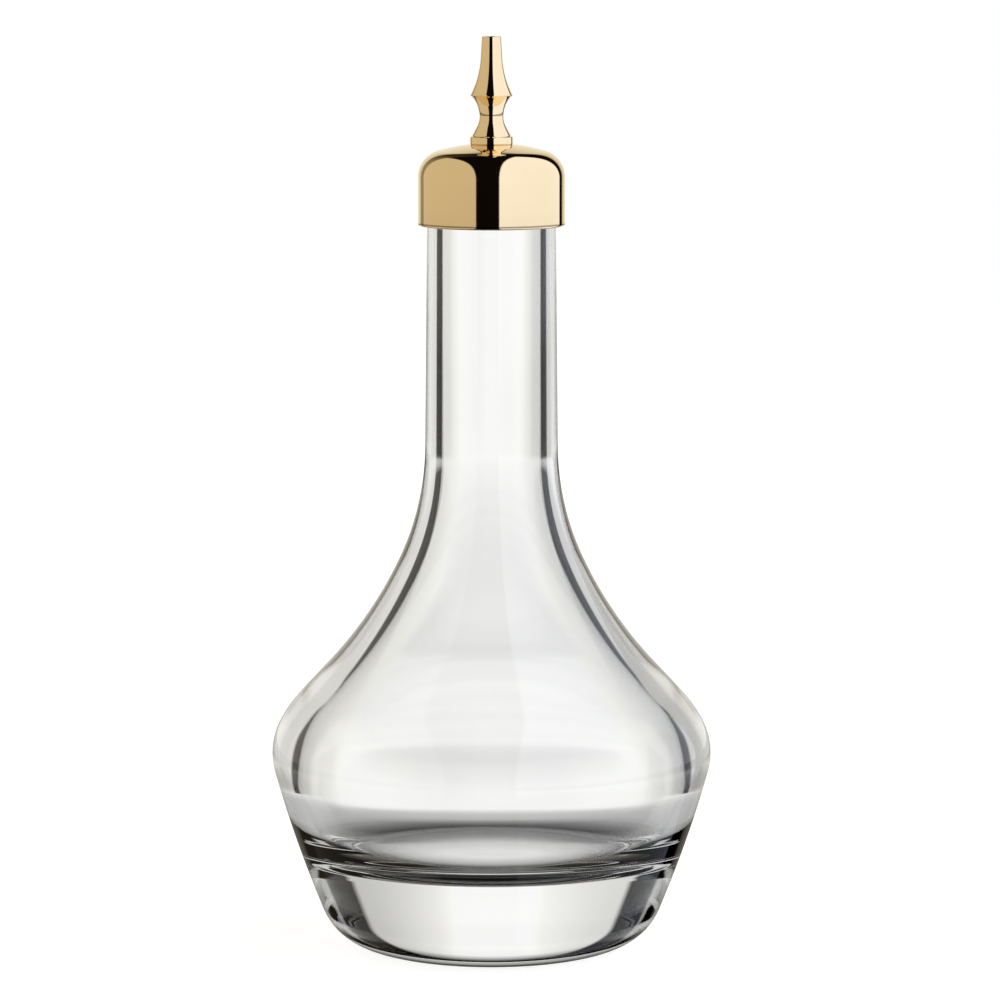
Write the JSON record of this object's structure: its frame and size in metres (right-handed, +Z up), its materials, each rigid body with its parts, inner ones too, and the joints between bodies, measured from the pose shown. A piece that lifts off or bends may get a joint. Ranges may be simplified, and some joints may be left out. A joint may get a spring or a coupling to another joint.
{
  "type": "bitters bottle with dasher top",
  "caption": "Clear glass bitters bottle with a long neck, wide belly and solid base, closed by a lift-off metal dasher top on a soft plug.",
  "frame": {"origin": "centre of the flat base of the bottle", "axes": "+Z up along the axis of the bottle, +X to the right as seen from the front, -Y towards the viewer"},
  "size_m": [0.0726, 0.0726, 0.15],
  "materials": {
    "glass": "clear polished glass",
    "plug": "matte silicone",
    "liner": "matte silicone",
    "cap": "polished gold plate",
    "spout": "polished gold plate",
    "stem": "turned brass",
    "washer": "plain steel",
    "nut": "plain steel"
  },
  "bodies": {
    "glass_body": {"bottle": "glass"},
    "soft_stopper": {"stopper_plug": "plug", "cap_liner": "liner"},
    "metal_top": {"cap_shell": "cap", "spout": "spout", "stem_tube": "stem", "clamp_washer": "washer", "clamp_nut": "nut"}
  },
  "joints": [
    {"name": "top_lift", "type": "slide", "parent": "glass_body", "child": "soft_stopper", "axis": [0, 0, 1], "range_m": [0, 0.04]},
    {"name": "top_turn", "type": "hinge", "parent": "soft_stopper", "child": "metal_top", "pos_m": [0, 0, 0.13], "axis": [0, 0, 1], "continuous": true}
  ]
}
